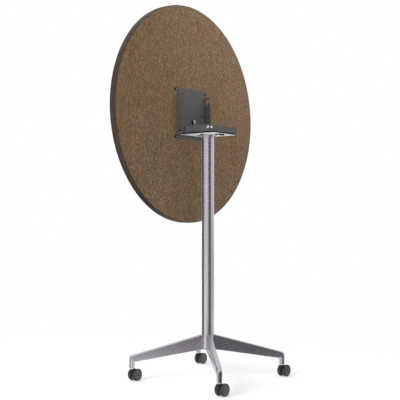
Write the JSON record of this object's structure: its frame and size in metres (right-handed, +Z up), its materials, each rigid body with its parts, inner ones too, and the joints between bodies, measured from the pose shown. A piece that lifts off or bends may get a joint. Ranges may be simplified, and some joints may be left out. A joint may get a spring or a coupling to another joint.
{
  "type": "standing meeting table",
  "caption": "Round standing-height table with a flip-up top on a latching hinge bracket, a tubular column, splayed tapered legs and swivelling twin-wheel casters.",
  "frame": {"origin": "on the floor under the column axis, midway between the casters", "axes": "+Z up, +X along the flip hinge to the right of a user standing in front, -Y towards that user: the stored top stands behind the column with its underside facing -Y"},
  "size_m": [0.9144, 0.4854, 1.5642],
  "materials": {
    "silver": "silver metallic powder coat, satin",
    "charcoal": "charcoal powder coat, fine texture",
    "zinc": "bright zinc plate",
    "black_steel": "black oxide",
    "black_plastic": "moulded nylon, fine texture",
    "tread": "moulded nylon wheel, matt",
    "nylon": "natural acetal",
    "underside": "brown mottled backing laminate, matt",
    "surface": "wood-grain laminate, satin",
    "board": "particle board",
    "band": "dark taupe edge band, satin"
  },
  "bodies": {
    "base": {"column": "silver", "column_plug": "black_plastic", "support_plate": "silver", "tray": "charcoal", "leg_front_left": "silver", "leg_front_right": "silver", "leg_rear_left": "silver", "leg_rear_right": "silver", "tray_bolt_1": "black_steel", "tray_bolt_2": "black_steel", "tray_bolt_3": "black_steel", "tray_bolt_4": "black_steel", "tray_nut_1": "zinc", "tray_nut_2": "zinc", "tray_nut_3": "zinc", "tray_nut_4": "zinc", "pivot_pin_left": "black_steel", "pivot_pin_right": "black_steel", "spring_anchor_left": "zinc", "spring_anchor_right": "zinc", "latch_spring_left": "zinc", "latch_spring_right": "zinc", "caster_stem_front_left": "zinc", "caster_stem_front_right": "zinc", "caster_stem_rear_left": "zinc", "caster_stem_rear_right": "zinc"},
    "top": {"tabletop_core": "board", "top_laminate": "surface", "underside_laminate": "underside", "edge_band": "band", "mounting_bracket": "charcoal", "bracket_screw_front_left": "black_steel", "bracket_screw_front_right": "black_steel", "bracket_screw_rear_left": "black_steel", "bracket_screw_rear_right": "black_steel", "web_bumper": "black_plastic", "bumper_screw": "zinc", "pivot_bush_left": "nylon", "pivot_bush_right": "nylon"},
    "latch": {"latch_rod": "zinc", "release_trigger": "black_plastic", "rod_clip_left": "black_steel", "rod_clip_right": "black_steel"},
    "caster_front_left": {"caster_hood_front_left": "black_plastic", "caster_axle_front_left": "black_steel"},
    "caster_front_right": {"caster_hood_front_right": "black_plastic", "caster_axle_front_right": "black_steel"},
    "caster_rear_left": {"caster_hood_rear_left": "black_plastic", "caster_axle_rear_left": "black_steel"},
    "caster_rear_right": {"caster_hood_rear_right": "black_plastic", "caster_axle_rear_right": "black_steel"},
    "wheel_front_left_front": {"caster_wheel_front_left_front": "tread"},
    "wheel_front_left_rear": {"caster_wheel_front_left_rear": "tread"},
    "wheel_front_right_front": {"caster_wheel_front_right_front": "tread"},
    "wheel_front_right_rear": {"caster_wheel_front_right_rear": "tread"},
    "wheel_rear_left_front": {"caster_wheel_rear_left_front": "tread"},
    "wheel_rear_left_rear": {"caster_wheel_rear_left_rear": "tread"},
    "wheel_rear_right_front": {"caster_wheel_rear_right_front": "tread"},
    "wheel_rear_right_rear": {"caster_wheel_rear_right_rear": "tread"}
  },
  "joints": [
    {"name": "top_flip", "type": "hinge", "parent": "base", "child": "top", "pos_m": [0, 0.072, 1.035], "axis": [1, 0, 0], "range_deg": [0, 90]},
    {"name": "latch_slide", "type": "slide", "parent": "base", "child": "latch", "axis": [0, 1, 0], "range_m": [0, 0.0146], "deforming": ["latch_spring_left", "latch_spring_right"]},
    {"name": "swivel_front_left", "type": "hinge", "parent": "base", "child": "caster_front_left", "pos_m": [-0.22274, -0.22274, 0.05], "axis": [0, 0, 1], "continuous": true},
    {"name": "swivel_front_right", "type": "hinge", "parent": "base", "child": "caster_front_right", "pos_m": [0.22274, -0.22274, 0.05], "axis": [0, 0, 1], "continuous": true},
    {"name": "swivel_rear_left", "type": "hinge", "parent": "base", "child": "caster_rear_left", "pos_m": [-0.22274, 0.22274, 0.05], "axis": [0, 0, 1], "continuous": true},
    {"name": "swivel_rear_right", "type": "hinge", "parent": "base", "child": "caster_rear_right", "pos_m": [0.22274, 0.22274, 0.05], "axis": [0, 0, 1], "continuous": true},
    {"name": "roll_front_left_front", "type": "hinge", "parent": "caster_front_left", "child": "wheel_front_left_front", "pos_m": [-0.20574, -0.22274, 0.0248], "axis": [0, 1, 0], "continuous": true},
    {"name": "roll_front_left_rear", "type": "hinge", "parent": "caster_front_left", "child": "wheel_front_left_rear", "pos_m": [-0.20574, -0.22274, 0.0248], "axis": [0, 1, 0], "continuous": true},
    {"name": "roll_front_right_front", "type": "hinge", "parent": "caster_front_right", "child": "wheel_front_right_front", "pos_m": [0.23974, -0.22274, 0.0248], "axis": [0, 1, 0], "continuous": true},
    {"name": "roll_front_right_rear", "type": "hinge", "parent": "caster_front_right", "child": "wheel_front_right_rear", "pos_m": [0.23974, -0.22274, 0.0248], "axis": [0, 1, 0], "continuous": true},
    {"name": "roll_rear_left_front", "type": "hinge", "parent": "caster_rear_left", "child": "wheel_rear_left_front", "pos_m": [-0.20574, 0.22274, 0.0248], "axis": [0, 1, 0], "continuous": true},
    {"name": "roll_rear_left_rear", "type": "hinge", "parent": "caster_rear_left", "child": "wheel_rear_left_rear", "pos_m": [-0.20574, 0.22274, 0.0248], "axis": [0, 1, 0], "continuous": true},
    {"name": "roll_rear_right_front", "type": "hinge", "parent": "caster_rear_right", "child": "wheel_rear_right_front", "pos_m": [0.23974, 0.22274, 0.0248], "axis": [0, 1, 0], "continuous": true},
    {"name": "roll_rear_right_rear", "type": "hinge", "parent": "caster_rear_right", "child": "wheel_rear_right_rear", "pos_m": [0.23974, 0.22274, 0.0248], "axis": [0, 1, 0], "continuous": true}
  ]
}
